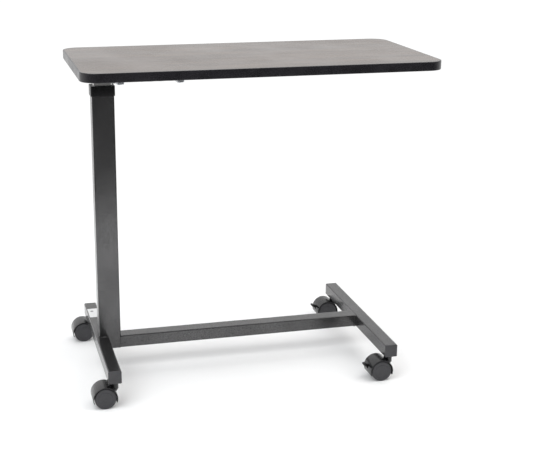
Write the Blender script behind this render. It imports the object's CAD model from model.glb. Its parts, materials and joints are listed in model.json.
import json
import math

import bmesh
import bpy
from mathutils import Matrix, Vector


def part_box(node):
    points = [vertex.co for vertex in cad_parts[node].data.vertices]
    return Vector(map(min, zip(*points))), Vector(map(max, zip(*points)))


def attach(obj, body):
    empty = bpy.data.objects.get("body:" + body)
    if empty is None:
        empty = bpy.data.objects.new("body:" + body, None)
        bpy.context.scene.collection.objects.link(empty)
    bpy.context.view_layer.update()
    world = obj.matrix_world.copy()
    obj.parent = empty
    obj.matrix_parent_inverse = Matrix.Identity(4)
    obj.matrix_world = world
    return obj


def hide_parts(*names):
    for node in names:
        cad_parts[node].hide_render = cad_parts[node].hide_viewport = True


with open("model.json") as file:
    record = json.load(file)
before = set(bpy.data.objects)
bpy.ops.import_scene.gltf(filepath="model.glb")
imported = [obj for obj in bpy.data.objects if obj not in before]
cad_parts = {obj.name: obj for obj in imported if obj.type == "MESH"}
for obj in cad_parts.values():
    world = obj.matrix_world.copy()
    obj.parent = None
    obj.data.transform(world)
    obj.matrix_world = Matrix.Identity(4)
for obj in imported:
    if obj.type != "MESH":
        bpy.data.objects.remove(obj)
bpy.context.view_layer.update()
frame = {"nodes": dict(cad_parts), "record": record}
nodes = frame["nodes"]
MM = 0.001


# ---------------------------------------------------------------- mesh tools

def middle(node):
    low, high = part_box(node)
    return (low + high) / 2


def extent(node):
    low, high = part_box(node)
    return high - low


def rounded_ring(width, depth, radius, steps):
    """Points of a rounded rectangle about the origin, anticlockwise."""
    points = []
    for corner, (sx, sy) in enumerate(((1, 1), (-1, 1), (-1, -1), (1, -1))):
        for i in range(steps + 1):
            a = math.radians(90 * (corner + i / steps))
            points.append((sx * (width / 2 - radius) + radius * math.cos(a),
                           sy * (depth / 2 - radius) + radius * math.sin(a)))
    return points


def rounded_line(corners, loop=False, steps=4):
    """A polyline of (u, v, radius) corners with each corner turned into a curve."""
    points = []
    count = len(corners)
    for i, (u, v, r) in enumerate(corners):
        p = Vector((u, v))
        if r <= 0 or (not loop and i in (0, count - 1)):
            points.append(p)
            continue
        a = Vector(corners[i - 1][:2]) - p
        b = Vector(corners[(i + 1) % count][:2]) - p
        t = min(r / math.tan(a.angle(b) / 2), a.length * 0.49, b.length * 0.49)
        a, b = p + a.normalized() * t, p + b.normalized() * t
        for k in range(steps + 1):
            s = k / steps
            points.append(a * (1 - s) ** 2 + p * 2 * s * (1 - s) + b * s * s)
    return points


def arc(radius, first, last, steps, centre=(0, 0)):
    """Points of an arc between two angles, in radians."""
    angles = [first + (last - first) * i / steps for i in range(steps + 1)]
    return [(centre[0] + radius * math.cos(a), centre[1] + radius * math.sin(a)) for a in angles]


def loft(rings, loop=False):
    """A mesh through rings of equally many points. A loop joins the last ring to the first."""
    bm = bmesh.new()
    rows = [[bm.verts.new(p) for p in r] for r in rings]
    for i in range(len(rows) if loop else len(rows) - 1):
        a, b = rows[i], rows[(i + 1) % len(rows)]
        for j in range(len(a)):
            k = (j + 1) % len(a)
            bm.faces.new((a[j], a[k], b[k], b[j]))
    if not loop:
        bm.faces.new(list(reversed(rows[0])))
        bm.faces.new(rows[-1])
    bmesh.ops.recalc_face_normals(bm, faces=bm.faces[:])
    return bm


def spin(profile, steps, loop=False):
    """Turns a profile of (radius, height) points about Z."""
    turns = [2 * math.pi * i / steps for i in range(steps)]
    return loft([[(r * math.cos(a), r * math.sin(a), z) for a in turns] for r, z in profile], loop)


def extruded(outline, width):
    """An outline in X and Z, carried across Y, centred on Y = 0."""
    return loft([[(x, y, z) for x, z in outline] for y in (-width / 2, width / 2)])


def placed(bm, matrix):
    """Moves a mesh and gives it back."""
    bmesh.ops.transform(bm, matrix=matrix, verts=bm.verts[:])
    return bm


def combined(parts):
    """Several meshes as one."""
    whole = bmesh.new()
    for bm in parts:
        mesh = bpy.data.meshes.new("part")
        bm.to_mesh(mesh)
        bm.free()
        whole.from_mesh(mesh)
        bpy.data.meshes.remove(mesh)
    return whole


def new_object(name, bm):
    """An object in the scene from a mesh, which is used up."""
    mesh = bpy.data.meshes.new(name)
    bm.to_mesh(mesh)
    bm.free()
    o = bpy.data.objects.new(name, mesh)
    bpy.context.scene.collection.objects.link(o)
    return o


def carved(base, steps):
    """Runs boolean steps, each ("UNION" or "DIFFERENCE", mesh), on a mesh."""
    target = new_object("temporary", base)
    tools = []
    for operation, bm in steps:
        tool = new_object("temporary", bm)
        tools.append(tool)
        m = target.modifiers.new(operation, "BOOLEAN")
        m.operation, m.solver, m.object = operation, "EXACT", tool
    bpy.context.view_layer.update()
    result = bmesh.new()
    result.from_object(target, bpy.context.evaluated_depsgraph_get())
    for o in [target, *tools]:
        mesh = o.data
        bpy.data.objects.remove(o)
        bpy.data.meshes.remove(mesh)
    bmesh.ops.remove_doubles(result, verts=result.verts[:], dist=1e-6)
    bmesh.ops.dissolve_limit(result, angle_limit=math.radians(0.5),
                             verts=result.verts[:], edges=result.edges[:])
    return result


def add_piece(name, bm, body, slot, stands_for=(), bevel=0.0, sharp=35):
    """Makes a piece that rides on a body, takes a slot's material and may stand for CAD nodes."""
    o = new_object(name, bm)
    o.data.shade_smooth()
    o.data.set_sharp_from_angle(angle=math.radians(sharp))
    o.data.materials.append(MATERIALS[slot])
    if bevel:
        round_edges(o, bevel)
    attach(o, body)
    if stands_for:
        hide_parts(*stands_for)


def round_edges(o, width, weld=False):
    """Rounds an object's hard edges with modifiers; weld first joins the CAD mesh's split points."""
    if weld:
        m = o.modifiers.new("weld", "WELD")
        m.merge_threshold = 2e-6
        m = o.modifiers.new("flat", "DECIMATE")
        m.decimate_type, m.angle_limit = "DISSOLVE", math.radians(0.4)
    m = o.modifiers.new("bevel", "BEVEL")
    m.width, m.segments, m.limit_method = width, 3, "ANGLE"
    m.angle_limit, m.harden_normals = math.radians(40), True


# ---------------------------------------------------------------- materials

class Look:
    """A Principled material, and short calls that add nodes to it."""

    def __init__(self, name, base, rough, **sockets):
        self.material = bpy.data.materials.new(name)
        self.material.use_nodes = True
        self.tree = self.material.node_tree
        self.shader = self.tree.nodes["Principled BSDF"]
        self.shader.inputs["Base Color"].default_value = (*base, 1)
        self.shader.inputs["Roughness"].default_value = rough
        for key, value in sockets.items():
            self.shader.inputs[key.replace("_", " ")].default_value = value
        self.place = self.add("TexCoord").outputs["Object"]

    def add(self, kind, inputs=None, **settings):
        node = self.tree.nodes.new("ShaderNode" + kind)
        for key, value in settings.items():
            setattr(node, key, value)
        for key, value in (inputs or {}).items():
            if isinstance(value, bpy.types.NodeSocket):
                self.tree.links.new(value, node.inputs[key])
            else:
                node.inputs[key].default_value = value
        return node

    def stretched(self, scale):
        return self.add("Mapping", {"Vector": self.place, "Scale": scale}).outputs[0]

    def noise(self, scale, detail=4, roughness=0.55, place=None, distortion=0.0):
        inputs = {"Vector": place or self.place, "Scale": scale, "Detail": detail,
                  "Roughness": roughness, "Distortion": distortion}
        return self.add("TexNoise", inputs).outputs["Fac"]

    def mapped(self, value, low, high, to_low, to_high):
        return self.add("MapRange", {"Value": value, "From Min": low, "From Max": high,
                                     "To Min": to_low, "To Max": to_high}).outputs[0]

    def math(self, operation, a, b):
        return self.add("Math", {0: a, 1: b}, operation=operation).outputs[0]

    def ramp(self, value, stops):
        node = self.add("ValToRGB", {"Fac": value})
        elements = node.color_ramp.elements
        while len(elements) < len(stops):
            elements.new(0.5)
        for element, (position, colour) in zip(elements, stops):
            element.position = position
            element.color = (*colour, 1)
        return node.outputs["Color"]

    def mix(self, factor, a, b):
        """Blends two colours, each a socket or (r, g, b)."""
        inputs = {0: factor}
        for socket, colour in ((6, a), (7, b)):
            inputs[socket] = colour if isinstance(colour, bpy.types.NodeSocket) else (*colour, 1)
        return self.add("Mix", inputs, data_type="RGBA").outputs[2]

    def use(self, socket, value):
        self.tree.links.new(value, self.shader.inputs[socket])
        return self

    def bump(self, height, distance, strength=1.0):
        node = self.add("Bump", {"Height": height, "Distance": distance, "Strength": strength})
        return self.use("Normal", node.outputs[0])


def wood_laminate():
    """Dark walnut print under a satin layer: long streaks, growth figure and fine pores along X."""
    look = Look("wood_laminate", (0.06, 0.04, 0.03), 0.3)
    bend = look.noise(3.0, 2, 0.5, look.stretched((0.9, 3.0, 1.0)))
    streaks = look.noise(1.0, 6, 0.62, look.stretched((2.4, 46.0, 1.0)), 0.9)
    fine = look.noise(1.0, 4, 0.6, look.stretched((11.0, 420.0, 1.0)))
    pores = look.noise(1.0, 2, 0.5, look.stretched((55.0, 1500.0, 1.0)))
    figure = look.math("ADD", look.math("MULTIPLY", streaks, 0.62), look.math("MULTIPLY", fine, 0.26))
    figure = look.math("ADD", figure, look.math("MULTIPLY", bend, 0.16))
    colour = look.ramp(figure, [(0.34, (0.020, 0.010, 0.006)), (0.46, (0.042, 0.024, 0.015)),
                                (0.55, (0.066, 0.040, 0.026)), (0.68, (0.105, 0.068, 0.046))])
    dark = look.mapped(pores, 0.56, 0.68, 0.0, 0.6)
    look.use("Base Color", look.mix(dark, colour, (0.006, 0.003, 0.002)))
    gloss = look.math("ADD", fine, look.noise(9.0, 3))
    look.use("Roughness", look.mapped(gloss, 0.7, 1.3, 0.20, 0.30))
    return look.bump(look.math("SUBTRACT", fine, look.math("MULTIPLY", dark, 0.6)), 0.00006, 0.5)


def moulded(name, base, rough, grain=1500.0, spread=0.25, depth=0.00005, **sockets):
    """Moulded plastic: a fine spark-eroded grain, slight flow marks and uneven gloss."""
    look = Look(name, base, rough, **sockets)
    flow = look.noise(34.0, 3, 0.5)
    pebble = look.noise(grain, 2, 0.5)
    low = tuple(c * (1 - spread) for c in base)
    high = tuple(c * (1 + spread) for c in base)
    look.use("Base Color", look.ramp(flow, [(0.35, low), (0.65, high)]))
    gloss = look.math("ADD", flow, pebble)
    look.use("Roughness", look.mapped(gloss, 0.7, 1.3, rough - 0.06, rough + 0.08))
    return look.bump(pebble, depth, 0.6)


def vein_paint():
    """Dark vein powder coat: a crinkled film with lighter silver islands between dark valleys."""
    look = Look("vein_paint", (0.12, 0.12, 0.122), 0.2, Metallic=0.8)
    push = look.add("TexNoise", {"Vector": look.place, "Scale": 260.0, "Detail": 2.0}).outputs["Color"]
    place = look.add("Mix", {0: 0.0035, 4: look.place, 5: push}, data_type="VECTOR").outputs[1]
    cells = look.add("TexVoronoi", {"Vector": place, "Scale": 540.0}, feature="DISTANCE_TO_EDGE")
    valley = look.mapped(cells.outputs["Distance"], 0.02, 0.16, 0.0, 1.0)
    flake = look.noise(2600.0, 2, 0.6)
    cloud = look.noise(14.0, 3, 0.5)
    tone = look.math("ADD", look.math("MULTIPLY", flake, 0.6), look.math("MULTIPLY", cloud, 0.4))
    body = look.ramp(tone, [(0.35, (0.095, 0.094, 0.094)), (0.62, (0.170, 0.168, 0.170))])
    look.use("Base Color", look.mix(valley, (0.050, 0.050, 0.051), body))
    look.use("Roughness", look.mapped(valley, 0.0, 1.0, 0.27, 0.17))
    return look.bump(look.math("ADD", valley, look.math("MULTIPLY", flake, 0.25)), 0.00006, 0.2)


def plated(name, base, rough):
    """Zinc-plated or bare metal: cloudy gloss, faint crystal patches and a fine roughness."""
    look = Look(name, base, rough, Metallic=1.0)
    spread = 0.14
    patch = look.add("TexVoronoi", {"Vector": look.place, "Scale": 260.0}).outputs["Color"]
    cloud = look.noise(42.0, 4, 0.6)
    tone = look.math("ADD", look.math("MULTIPLY", patch, 0.35), look.math("MULTIPLY", cloud, 0.65))
    low = tuple(c * (1 - spread) for c in base)
    high = tuple(min(1.0, c * (1 + spread)) for c in base)
    look.use("Base Color", look.ramp(tone, [(0.3, low), (0.7, high)]))
    look.use("Roughness", look.mapped(tone, 0.3, 0.7, rough + 0.08, rough - 0.05))
    return look.bump(look.noise(900.0, 3), 0.00003, 0.4)


def chrome_tube():
    """Bright chromed tube with polishing marks along it and slight haze."""
    look = Look("chrome_tube", (0.78, 0.77, 0.76), 0.12, Metallic=1.0)
    marks = look.noise(1.0, 4, 0.6, look.stretched((2400.0, 2400.0, 14.0)))
    haze = look.noise(25.0, 3)
    look.use("Base Color", look.ramp(haze, [(0.3, (0.70, 0.69, 0.68)), (0.7, (0.84, 0.83, 0.82))]))
    look.use("Roughness", look.mapped(look.math("ADD", marks, haze), 0.7, 1.3, 0.07, 0.20))
    return look.bump(marks, 0.00001, 0.35)


def board():
    """Particle board: pressed chips of several browns."""
    look = Look("board", (0.45, 0.32, 0.19), 0.8)
    chips = look.add("TexVoronoi", {"Vector": look.stretched((1.0, 1.0, 2.2)), "Scale": 420.0})
    look.use("Base Color", look.ramp(chips.outputs["Color"], [
        (0.15, (0.22, 0.14, 0.08)), (0.5, (0.46, 0.32, 0.18)), (0.9, (0.62, 0.47, 0.30))]))
    return look.bump(look.noise(800.0, 4), 0.0002, 0.6)


def label():
    """Blank white vinyl sticker with one grey spot and slightly uneven whiteness."""
    look = Look("label", (0.86, 0.86, 0.86), 0.35)
    spot_centre = middle("blank_label") + Vector((-3 * MM, 11 * MM, 0))
    apart = look.add("VectorMath", {0: look.place, 1: spot_centre}, operation="DISTANCE").outputs[1]
    spot = look.mapped(apart, 3.4 * MM, 4 * MM, 1.0, 0.0)
    paper = look.ramp(look.noise(700.0, 3), [(0.3, (0.68, 0.68, 0.69)), (0.7, (0.76, 0.76, 0.76))])
    look.use("Base Color", look.mix(spot, paper, (0.13, 0.13, 0.14)))
    look.use("Roughness", look.mapped(look.noise(120.0, 2), 0.3, 0.7, 0.28, 0.42))
    return look.bump(look.noise(1400.0, 2), 0.00002, 0.4)


def wheel_nylon():
    """Dark grey nylon with dusty scuffs."""
    look = Look("wheel_nylon", (0.05, 0.05, 0.054), 0.42)
    scuff = look.noise(230.0, 5, 0.7)
    flow = look.noise(60.0, 2)
    tone = look.math("ADD", look.math("MULTIPLY", scuff, 0.5), look.math("MULTIPLY", flow, 0.5))
    look.use("Base Color", look.ramp(tone, [(0.3, (0.030, 0.030, 0.033)),
                                            (0.72, (0.048, 0.047, 0.052))]))
    look.use("Roughness", look.mapped(tone, 0.3, 0.7, 0.36, 0.52))
    return look.bump(look.noise(1300.0, 2), 0.00005, 0.5)


MATERIALS = {name: look.material for name, look in {
    "board": board(),
    "wood_laminate": wood_laminate(),
    "backer": moulded("backer", (0.022, 0.019, 0.018), 0.62, 2200.0, 0.3),
    "edge_band": moulded("edge_band", (0.013, 0.012, 0.015), 0.26, 1100.0, 0.2, 0.00002),
    "zinc_steel": plated("zinc_steel", (0.62, 0.64, 0.67), 0.30),
    "chrome_tube": chrome_tube(),
    "nylon": moulded("nylon", (0.72, 0.70, 0.64), 0.45, 900.0, 0.05),
    "steel": plated("steel", (0.34, 0.34, 0.35), 0.36),
    "brass": plated("brass", (0.62, 0.44, 0.18), 0.28),
    "black_steel": moulded("black_steel", (0.020, 0.020, 0.021), 0.38, 1800.0, 0.25),
    "black_plastic": moulded("black_plastic", (0.005, 0.005, 0.0055), 0.28, 1300.0, 0.25, 0.00002,
                             IOR=1.38),
    "vein_paint": vein_paint(),
    "cap_plastic": moulded("cap_plastic", (0.044, 0.043, 0.047), 0.44, 1200.0, 0.15),
    "label": label(),
    "hood_plastic": moulded("hood_plastic", (0.008, 0.008, 0.009), 0.22, 1500.0, 0.2, 0.00003),
    "wheel_nylon": wheel_nylon(),
}.items()}

# Every CAD node that stays takes its slot's finish
for entry in frame["record"]["subparts"]:
    mesh = nodes[entry["node"]].data
    mesh.materials.clear()
    mesh.materials.append(MATERIALS[entry["material_slot"]])


# ---------------------------------------------------------------- tabletop

def edge_band():
    """Band with eased edges, and the tongue that holds it in the board."""
    low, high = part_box("edge_band")
    size = extent("tabletop_laminate")
    out = (high.x - low.x - size.x) / 2
    board_corner = 33 * MM
    ease = 1.3 * MM
    groove = (low.z + high.z) / 2
    tongue, tongue_half = 9.8 * MM, 1.5 * MM
    profile = rounded_line([
        (0, high.z, 0), (out, high.z, ease), (out, low.z, ease), (0, low.z, 0),
        (0, groove - tongue_half, 0), (-tongue, groove - tongue_half, 0),
        (-tongue, groove + tongue_half, 0), (0, groove + tongue_half, 0)], loop=True, steps=5)
    rings = [[(x, y, z) for x, y in rounded_ring(size.x + 2 * d, size.y + 2 * d, board_corner + d, 20)]
             for d, z in profile]
    add_piece("edge_band_moulding", loft(rings, loop=True), "top", "edge_band", ["edge_band"])


SCREW_HEAD_R = 4.2 * MM


def screw_head():
    """Pan head with a cross recess, hanging below z = 0."""
    head = spin(rounded_line([
        (SCREW_HEAD_R, 0, 0), (SCREW_HEAD_R, -1.2 * MM, 0.6 * MM), (3.4 * MM, -2.2 * MM, 1.2 * MM),
        (1.2 * MM, -2.6 * MM, 0.8 * MM), (0.05 * MM, -2.6 * MM, 0)]), 40)
    recess = [(-2.3 * MM, -3 * MM), (2.3 * MM, -3 * MM), (1.1 * MM, -1.1 * MM), (-1.1 * MM, -1.1 * MM)]
    turns = [Matrix.Rotation(math.radians(turn), 4, "Z") for turn in (0, 90)]
    return carved(head, [("DIFFERENCE", placed(extruded(recess, 0.9 * MM), turn)) for turn in turns])


def top_screws():
    """The ten screws at the CAD's spots, each with a shank up into the board."""
    low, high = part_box("top_screws")
    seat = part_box("top_support_plate")[0].z
    arm = high.x - SCREW_HEAD_R
    spots = [(x, y * MM) for x in (arm, arm - 120 * MM) for y in (-172, -60, 60, 172)]
    spots += [(low.x + SCREW_HEAD_R, y * MM) for y in (-25, 25)]
    head = screw_head()
    parts = []
    for i, (x, y) in enumerate(spots):
        place = Matrix.Translation((x, y, seat))
        turn = Matrix.Rotation(math.radians(37 * i), 4, "Z")
        shank = spin([(2.1 * MM, -0.5 * MM), (2.1 * MM, high.z - seat)], 24)
        parts += [placed(head.copy(), place @ turn), placed(shank, place)]
    head.free()
    add_piece("top_screws_pan_head", combined(parts), "top", "zinc_steel", ["top_screws"])


# ---------------------------------------------------------------- column and base

def column_collar():
    """Plastic cap with eased rims that steps in round the inner tube."""
    low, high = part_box("column_collar")
    w, d = high.x - low.x, high.y - low.y
    to_tube = (w - extent("outer_column").x) / 2
    to_inner = (w - extent("inner_column").x) / 2 - 0.4 * MM
    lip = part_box("outer_column")[1].z
    profile = rounded_line([
        (0, low.z, 0.5 * MM), (0, high.z, 1.4 * MM), (-to_inner, high.z, 0.8 * MM),
        (-to_inner, lip, 0.3 * MM), (-to_tube, lip, 0), (-to_tube, low.z, 0.3 * MM)], loop=True)
    rings = []
    for out, z in profile:
        radius = max(1.2 * MM, 5 * MM + out * 0.35)
        rings.append([(x, y, z) for x, y in rounded_ring(w + 2 * out, d + 2 * out, radius, 8)])
    centre = middle("column_collar")
    bm = placed(loft(rings, loop=True), Matrix.Translation((centre.x, centre.y, 0)))
    add_piece("column_collar_cap", bm, "base", "black_plastic", ["column_collar"])


def foot_end_caps():
    """Square plugs with eased, slightly crowned faces."""
    # (distance out from the face, growth of each side) in mm, from the plug's inner end
    profile = ((-11, -3.7), (-3, -3.7), (-3, 0), (-1.1, 0), (-0.5, -0.35), (-0.12, -1.1), (0, -2.4),
               (0, -7))
    low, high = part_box("foot_end_caps")
    parts = []
    for foot in ("left_foot_tube", "right_foot_tube"):
        centre = middle(foot)
        size = extent(foot).x
        for side, face in ((-1, low.y), (1, high.y)):
            rings = []
            for depth, growth in profile:
                width = size + 2 * growth * MM
                radius = max(0.6, 2.5 + growth * 0.4) * MM
                rings.append([(x, y, depth * MM) for x, y in rounded_ring(width, width, radius, 6)])
            turn = Matrix.Rotation(math.radians(-90 * side), 4, "X")
            parts.append(placed(loft(rings), Matrix.Translation((centre.x, face, centre.z)) @ turn))
    add_piece("foot_end_caps_plugs", combined(parts), "base", "cap_plastic", ["foot_end_caps"])


def weld_bead(name, start, end, radius):
    """A run of overlapping weld ripples along a seam."""
    pitch, taper, step = 2.1 * MM, 1.6 * MM, 0.35 * MM
    start, end = Vector(start), Vector(end)
    length = (end - start).length
    along = (end - start).normalized()
    side = along.orthogonal().normalized()
    up = along.cross(side)
    count = max(12, int(length / step))
    turns = [2 * math.pi * k / 12 for k in range(12)]
    rings = []
    for i in range(count + 1):
        at = i / count * length
        ripple = (at / pitch) % 1.0
        ends = min(1.0, min(at, length - at) / taper + 0.25)
        swell = 0.86 + 0.16 * (1 - ripple) ** 0.6 + 0.05 * math.sin(at * 2300)
        r = radius * ends * swell
        rings.append([start + along * at + (side * math.cos(a) + up * math.sin(a)) * r for a in turns])
    add_piece(name, loft(rings), "base", "vein_paint", sharp=60)


def weld_beads():
    """Beads where the column and the spreader meet the left foot, and at the spreader's flange."""
    column_low, column_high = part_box("outer_column")
    spreader_low, spreader_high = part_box("spreader_tube")
    foot_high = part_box("left_foot_tube")[1]
    top = foot_high.z
    wide, narrow = 1.7 * MM, 1.2 * MM
    inset = 3 * MM
    weld_bead("weld_spreader_top", (spreader_low.x, spreader_low.y + inset, top),
              (spreader_low.x, spreader_high.y - inset, top), wide)
    for name, y in (("front", column_low.y), ("rear", column_high.y)):
        weld_bead("weld_column_" + name, (column_low.x + inset, y, top),
                  (foot_high.x - 1 * MM, y, top), wide)
    weld_bead("weld_column_side", (column_low.x, column_low.y + inset, top),
              (column_low.x, column_high.y - inset, top), wide)
    seams = (("flange_", spreader_high.x, narrow), ("spreader_", spreader_low.x - 1.3 * MM, wide))
    for name, y in (("front", spreader_low.y + 1.2 * MM), ("rear", spreader_high.y - 1.2 * MM)):
        for seam, x, radius in seams:
            weld_bead("weld_" + seam + name, (x, y, spreader_low.z + 2 * MM),
                      (x, y, spreader_high.z - 2 * MM), radius)


# ---------------------------------------------------------------- release lever

def lever_grip():
    """Moulded grip with shallow finger waves over the lever's bar."""
    low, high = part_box("lever_grip")
    length, width, height = high - low
    rounding, wave_depth, wave_count, fade = 3.2 * MM, 0.45 * MM, 4, 9 * MM
    count = 90
    rings = []
    for i in range(count + 1):
        s = i / count
        end = min(s, 1 - s) * length
        ease = 1 - max(0.0, 1 - end / rounding) ** 2 * 0.45
        wave = wave_depth * (0.5 - 0.5 * math.cos(2 * math.pi * wave_count * s)) * min(1.0, end / fade)
        w, h = width * ease - 2 * wave, height * ease - wave
        rings.append([(low.x + s * length, y, z) for y, z in rounded_ring(w, h, min(4 * MM, h * 0.42), 8)])
    centre = middle("lever_grip")
    bm = placed(loft(rings), Matrix.Translation((0, centre.y, centre.z)))
    bar_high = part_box("release_lever")[1]
    bar_width, bar_half = extent("release_lever").y, 2 * MM
    bar = extruded([(-1, -bar_half), (1, -bar_half), (1, bar_half), (-1, bar_half)], bar_width)
    bar = placed(bar, Matrix.Translation((bar_high.x - 1, centre.y, centre.z)))
    add_piece("lever_grip_moulded", carved(bm, [("DIFFERENCE", bar)]), "lever", "black_plastic",
              ["lever_grip"], sharp=50)


# ---------------------------------------------------------------- casters

HOOD_R = 26 * MM
HOOD_SKIRT = 9 * MM
WHEEL_GAP_R = 24.2 * MM
WEB = 12 * MM
PIVOT = Vector((-15 * MM, 3 * MM))
BRAKE_REST = math.radians(150)
BRAKE_SWING = math.radians(18)
WHEEL_CENTRE_R = 0.4 * MM
# How far the back and the front of a wheel's axle cap lie inside its face
CAP_BACK = 0.8 * MM
CAP_FRONT = 0.35 * MM


def turned_to_y(bm):
    return placed(bm, Matrix.Rotation(math.radians(-90), 4, "X"))


def cylinder_y(radius, width, steps=96):
    return turned_to_y(spin([(radius, -width / 2), (radius, width / 2)], steps))


def hood_shell(width):
    """The arched cover over both wheels, with rolled rims and eased ends."""
    section = rounded_line([
        (WHEEL_GAP_R, -width / 2, 0.3 * MM), (HOOD_R, -width / 2, 0.7 * MM),
        (HOOD_R, width / 2, 0.7 * MM), (WHEEL_GAP_R, width / 2, 0.3 * MM)], loop=True)
    middle_r = (HOOD_R + WHEEL_GAP_R) / 2
    first = -math.asin(HOOD_SKIRT / middle_r)
    count = 88
    rings = []
    for i in range(count + 1):
        a = first + (math.pi - 2 * first) * i / count
        # The wall thins at its two ends
        ease = {0: 0.55, 1: 0.92}.get(min(i, count - i), 1.0)
        ring = []
        for r, y in section:
            eased = middle_r + (r - middle_r) * ease
            ring.append((eased * math.cos(a), y * (1 - (1 - ease) * 0.04), eased * math.sin(a)))
        rings.append(ring)
    return loft(rings)


def brake_room():
    """The space in a hood's web that the brake lever and its hub swing through."""
    outline = arc(4.2 * MM, math.radians(255), math.radians(420), 20, PIVOT)
    spare = 0.05
    for angle, off in ((BRAKE_REST - spare, -2.3 * MM), (BRAKE_REST + BRAKE_SWING + spare, 2.3 * MM)):
        along = Vector((math.cos(angle), math.sin(angle)))
        across = Vector((-along.y, along.x))
        outline.append(tuple(PIVOT + along * 20 * MM + across * off))
    return extruded(outline, 7.2 * MM)


def caster_hood(name, braked):
    """The hood's shell with its web, swivel boss and bores, and a slot for a brake lever if it has one."""
    axle = middle(name + "_axle")
    width = extent(name + "_hood").y
    swivel = Matrix.Translation((middle(name + "_stem").x - axle.x, 0, 0))
    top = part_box(name + "_hood")[1].z - axle.z
    reach = HOOD_R - 1 * MM
    first = math.asin(-4 * MM / reach)
    web = arc(reach, first, math.pi - first, 72)
    web += arc(9.5 * MM, math.radians(205), math.radians(335), 20)
    boss = spin(rounded_line([
        (5.0 * MM, 8 * MM, 0), (9 * MM, 14.5 * MM, 2 * MM), (9 * MM, top, 1.0 * MM),
        (0.05 * MM, top, 0)]), 64)
    steps = [("UNION", extruded(web, WEB)), ("UNION", placed(boss, swivel))]
    for side in (-1, 1):
        clear = Matrix.Translation((0, side * (WEB + width) / 2, 0))
        steps.append(("DIFFERENCE", placed(cylinder_y(WHEEL_GAP_R, width), clear)))
    bore = spin([(4.05 * MM, 3.5 * MM), (4.05 * MM, top + 5 * MM)], 48)
    steps.append(("DIFFERENCE", placed(bore, swivel)))
    steps.append(("DIFFERENCE", cylinder_y(3 * MM, 3 * WEB, 48)))
    if braked:
        steps.append(("DIFFERENCE", brake_room()))
        pin = Matrix.Translation((PIVOT.x, 0, PIVOT.y))
        steps.append(("DIFFERENCE", placed(cylinder_y(2.05 * MM, 3 * WEB, 32), pin)))
    bm = placed(carved(hood_shell(width), steps), Matrix.Translation(axle))
    add_piece(name + "_hood_shell", bm, name + "_caster", "hood_plastic", [name + "_hood"],
              bevel=0.3 * MM)


def wheel_profile(face, back, radius):
    """Half section of a wheel, as (radius, distance from the caster's middle)."""
    bore, hub, rim = 3.05 * MM, 7 * MM, 18.3 * MM
    web = face - 3.6 * MM
    groove = face - 0.55 * MM
    disc = face - 0.05 * MM
    cap = face - CAP_FRONT
    section = rounded_line([
        (bore, back, 0), (hub, back, 0.4 * MM), (hub, web, 0.8 * MM),
        (rim, web, 0.8 * MM), (rim, back, 0.4 * MM),
        (radius, back, 1.0 * MM), (radius, face, 1.6 * MM), (17.4 * MM, face, 0.3 * MM),
        (16.6 * MM, groove, 0.3 * MM), (15.0 * MM, groove, 0.3 * MM),
        (14.2 * MM, disc, 0.3 * MM), (6.4 * MM, disc, 0.2 * MM),
        (5.9 * MM, cap, 0.2 * MM), (WHEEL_CENTRE_R, cap, 0)])
    return section + [(WHEEL_CENTRE_R, face - CAP_BACK), (bore, face - CAP_BACK)]


def caster_wheels(name):
    """Two dished wheels with a rim, a hub and a cap over the axle's end."""
    axle = middle(name + "_axle")
    for part in ("_outer", "_inner"):
        node = name + part + "_wheel"
        low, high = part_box(node)
        back, face = sorted((abs(low.y - axle.y), abs(high.y - axle.y)))
        turn = Matrix.Rotation(math.radians(-90 if high.y > axle.y else 90), 4, "X")
        wheel = spin(wheel_profile(face, back, (high.z - low.z) / 2), 96, loop=True)
        plug_r = WHEEL_CENTRE_R + 0.05 * MM
        plug = spin([(plug_r, face - CAP_BACK), (plug_r, face - CAP_FRONT)], 96)
        bm = placed(combined([placed(wheel, turn), placed(plug, turn)]), Matrix.Translation(axle))
        add_piece(node + "_turned", bm, name + part + "_roller", "wheel_nylon", [node])


def caster_brake(name):
    """Brake lever: round hub and a widening tab with grip ribs, turned up at its end."""
    axle = middle(name + "_axle")
    # (distance from the pivot, width, thickness, lift) in mm
    stations = (
        (-3.2, 4.6, 2.0, 0), (-2.4, 6.4, 4.6, 0), (0, 6.6, 6.6, 0), (2.4, 6.6, 5.0, 0),
        (4.0, 6.6, 3.2, 0), (12.4, 6.6, 3.0, 0), (13.4, 8.4, 3.6, 0.2), (14.4, 12.6, 5.0, 0.6),
        (15.4, 14.0, 6.0, 0.8), (16.4, 14.0, 6.2, 0.9), (17.0, 14.0, 6.9, 1.2), (17.6, 14.0, 6.0, 0.8),
        (18.6, 14.0, 5.8, 0.9), (19.2, 14.0, 6.5, 1.2), (19.8, 14.0, 5.4, 0.8), (20.8, 14.0, 5.2, 0.9),
        (21.4, 13.8, 5.8, 1.2), (22.0, 13.4, 4.6, 0.9), (23.4, 12.2, 3.8, 1.1), (24.5, 10.0, 2.8, 1.3),
        (25.1, 7.0, 1.6, 1.5))
    rings = []
    for along, width, thickness, lift in stations:
        radius = min(width, thickness) * 0.42 * MM
        rings.append([(along * MM, y, z + lift * MM)
                      for y, z in rounded_ring(width * MM, thickness * MM, radius, 5)])
    lever = placed(loft(rings), Matrix.Rotation(-BRAKE_REST, 4, "Y"))
    trunnion = cylinder_y(2 * MM, WEB, 32)
    pivot = Matrix.Translation((axle.x + PIVOT.x, axle.y, axle.z + PIVOT.y))
    add_piece(name + "_brake_tab", placed(combined([lever, trunnion]), pivot), name + "_brake_lever",
              "black_plastic", [name + "_brake"], sharp=50)


# ---------------------------------------------------------------- build

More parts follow.
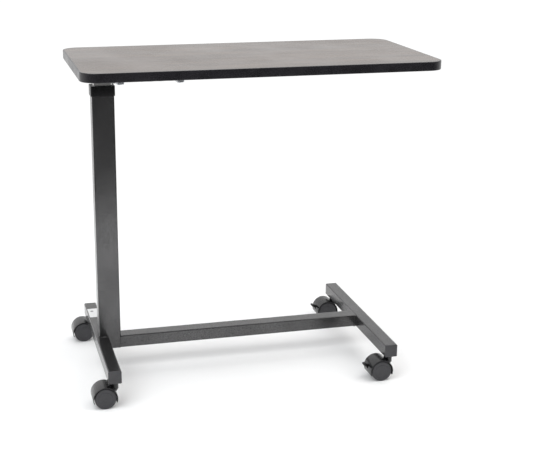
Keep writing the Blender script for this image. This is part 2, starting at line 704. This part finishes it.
edge_band()
top_screws()
column_collar()
foot_end_caps()
weld_beads()
lever_grip()
for caster in ("front_left", "rear_left", "front_right", "rear_right"):
    caster_hood(caster, caster.endswith("right"))
    caster_wheels(caster)
for caster in ("front_right", "rear_right"):
    caster_brake(caster)
for name, width in (("top_support_plate", 0.4), ("lever_bracket", 0.3), ("release_lever", 0.5),
                    ("spreader_flange", 1.9), ("foot_bolts", 0.4), ("outer_column", 0.25)):
    round_edges(nodes[name], width * MM, weld=True)


# ---------------------------------------------------------------- stage, light and camera

def stage_floor():
    """A round, pale floor."""
    o = new_object("floor", spin([(1.55, -0.02), (1.55, 0.0)], 96))
    look = Look("floor", (0.97, 0.97, 0.97), 0.9)
    look.use("Base Color", look.ramp(look.noise(3.0, 2), [(0.3, (0.96, 0.96, 0.965)),
                                                          (0.7, (0.98, 0.98, 0.98))]))
    o.data.materials.append(look.material)


LIGHT_AIM = Vector((0, 0, 0.2))


def softbox(name, place, size, power, colour):
    """A rectangular light that points at the table's middle, low down."""
    light = bpy.data.lights.new(name, "AREA")
    light.shape, light.size, light.size_y = "RECTANGLE", size[0], size[1]
    light.energy, light.color = power, colour
    o = bpy.data.objects.new(name, light)
    bpy.context.scene.collection.objects.link(o)
    o.location = place
    o.rotation_euler = (LIGHT_AIM - Vector(place)).to_track_quat("-Z", "Y").to_euler()


def studio_world():
    """White backdrop behind the table, dimmer room towards the front."""
    world = bpy.data.worlds.new("studio")
    bpy.context.scene.world = world
    world.use_nodes = True
    tree = world.node_tree
    background = tree.nodes["Background"]
    place = tree.nodes.new("ShaderNodeTexCoord")
    split = tree.nodes.new("ShaderNodeSeparateXYZ")
    tree.links.new(place.outputs["Generated"], split.inputs[0])
    ramp = tree.nodes.new("ShaderNodeMapRange")
    ramp.interpolation_type = "SMOOTHSTEP"
    for key, value in (("From Min", -0.75), ("From Max", 0.35), ("To Min", 0.14), ("To Max", 1.0)):
        ramp.inputs[key].default_value = value
    tree.links.new(split.outputs["Y"], ramp.inputs["Value"])
    path = tree.nodes.new("ShaderNodeLightPath")
    seen = tree.nodes.new("ShaderNodeMix")
    backdrop = seen.inputs[3]
    backdrop.default_value = 1.05
    tree.links.new(path.outputs["Is Camera Ray"], seen.inputs[0])
    tree.links.new(ramp.outputs[0], seen.inputs[2])
    background.inputs["Color"].default_value = (1, 1, 1, 1)
    tree.links.new(seen.outputs[0], background.inputs["Strength"])


def set_camera():
    """A camera at the front left, a little above the tabletop and looking down at the table."""
    place = (-0.625, -2.430, 1.061)
    yaw, pitch, roll = math.radians(14.09), math.radians(16.06), math.radians(0.20)
    forward = Vector((math.sin(yaw) * math.cos(pitch), math.cos(yaw) * math.cos(pitch), -math.sin(pitch)))
    level = Vector((math.cos(yaw), -math.sin(yaw), 0))
    upright = level.cross(forward)
    right = math.cos(roll) * level + math.sin(roll) * upright
    up = -math.sin(roll) * level + math.cos(roll) * upright
    data = bpy.data.cameras.new("camera")
    data.sensor_width, data.lens = 36, 78.48
    data.shift_x, data.shift_y = 0.0497, -0.0244
    camera = bpy.data.objects.new("camera", data)
    bpy.context.scene.collection.objects.link(camera)
    turned = Matrix((right, up, -forward)).transposed().to_4x4()
    camera.matrix_world = Matrix.Translation(place) @ turned
    bpy.context.scene.camera = camera


stage_floor()
softbox("key_left", (-1.9, -1.5, 2.2), (2.4, 2.0), 44, (0.95, 0.98, 1.0))
softbox("fill_right", (2.0, -1.1, 2.3), (2.6, 2.2), 28, (1.0, 0.98, 0.95))
softbox("overhead", (0.1, -0.2, 2.9), (3.2, 2.8), 38, (1.0, 1.0, 1.0))
studio_world()
set_camera()
bpy.context.scene.view_settings.view_transform = "Standard"
